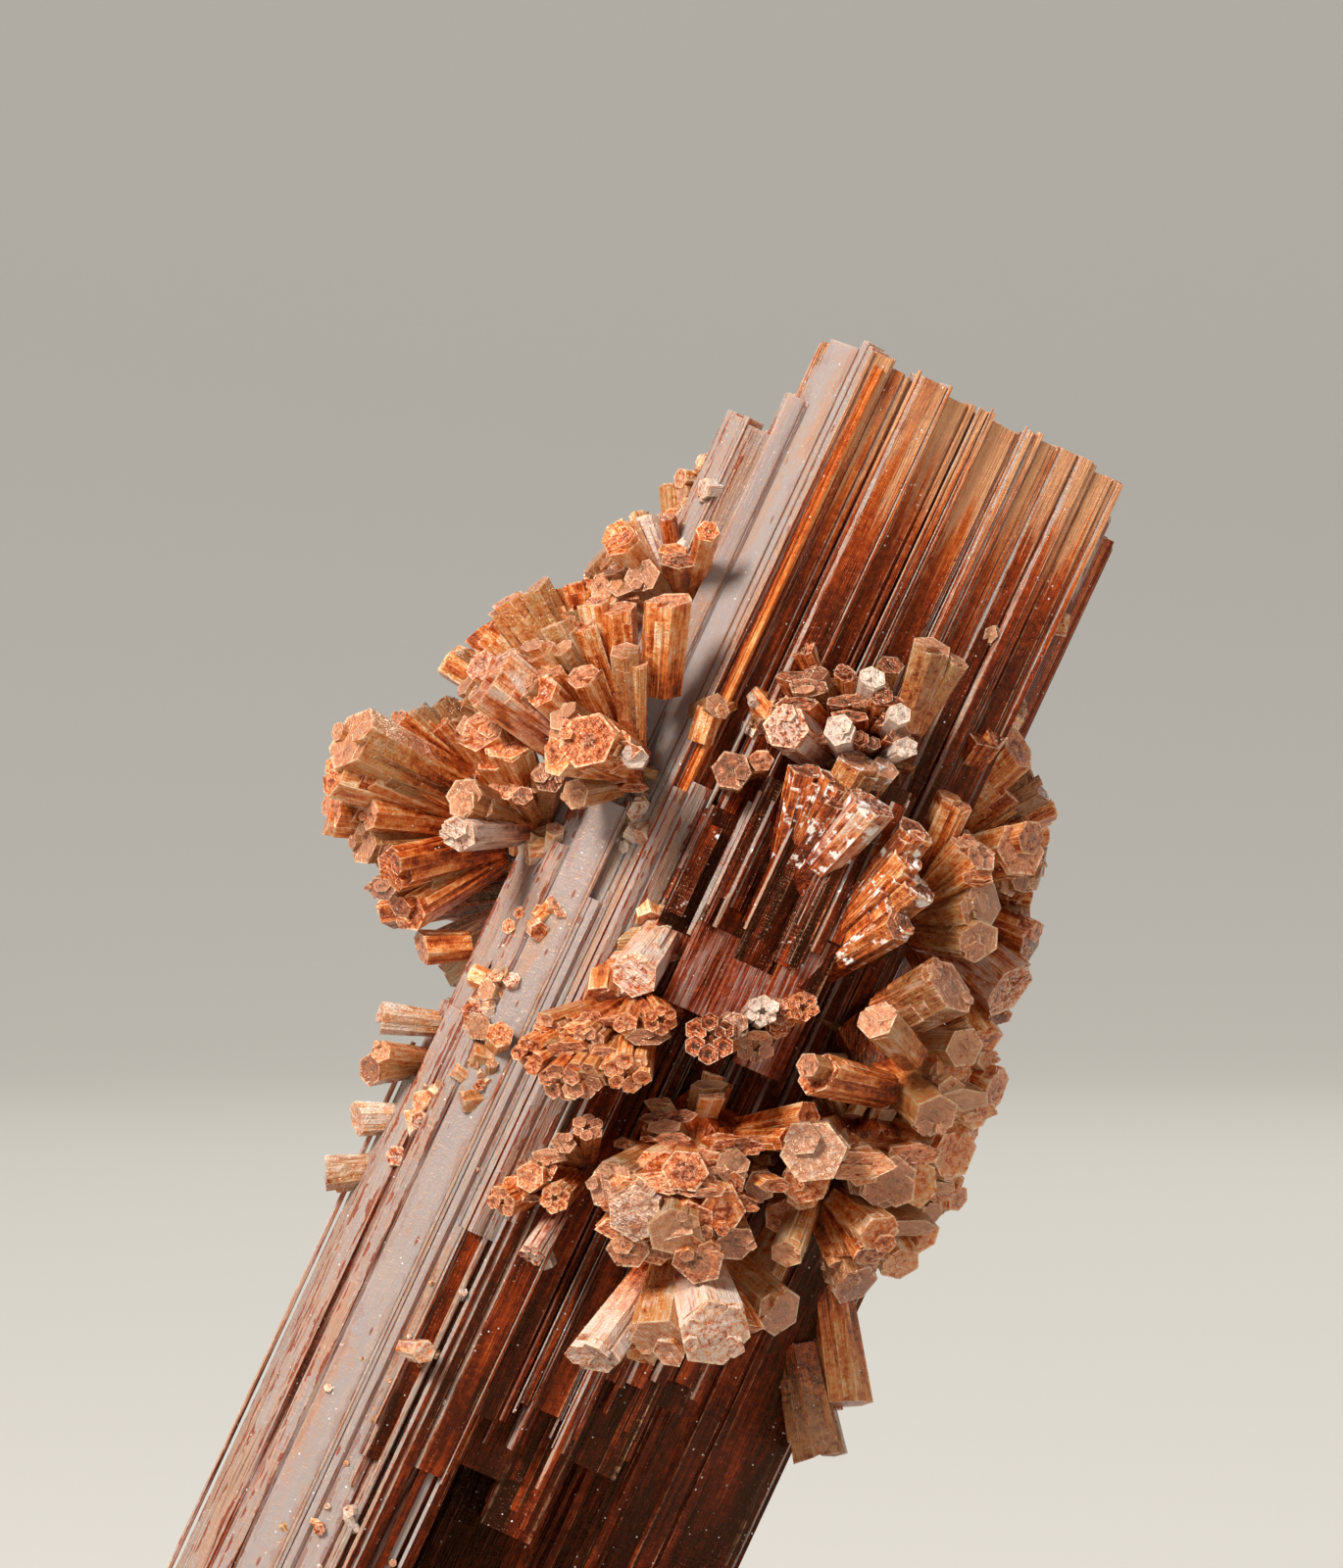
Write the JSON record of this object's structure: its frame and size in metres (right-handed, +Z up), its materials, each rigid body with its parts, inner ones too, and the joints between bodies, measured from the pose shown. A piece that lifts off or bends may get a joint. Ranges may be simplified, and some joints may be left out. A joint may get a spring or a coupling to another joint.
{
  "type": "aragonite crystal specimen",
  "caption": "Leaning column of intergrown red-brown aragonite prisms with sprays of short hexagonal crystals, cut flat at the foot.",
  "frame": {"origin": "middle of the bounding box, at the level of the flat cut that the specimen stands on", "axes": "+Z up, +X towards the side the column leans to, +Y away from the side with the large front spray"},
  "size_m": [0.0314, 0.0189, 0.0422],
  "materials": {
    "aragonite": "red-brown to milky crystal, waxy to glassy, partly see-through"
  },
  "bodies": {
    "root": {"aragonite_cluster": "aragonite"}
  },
  "joints": []
}
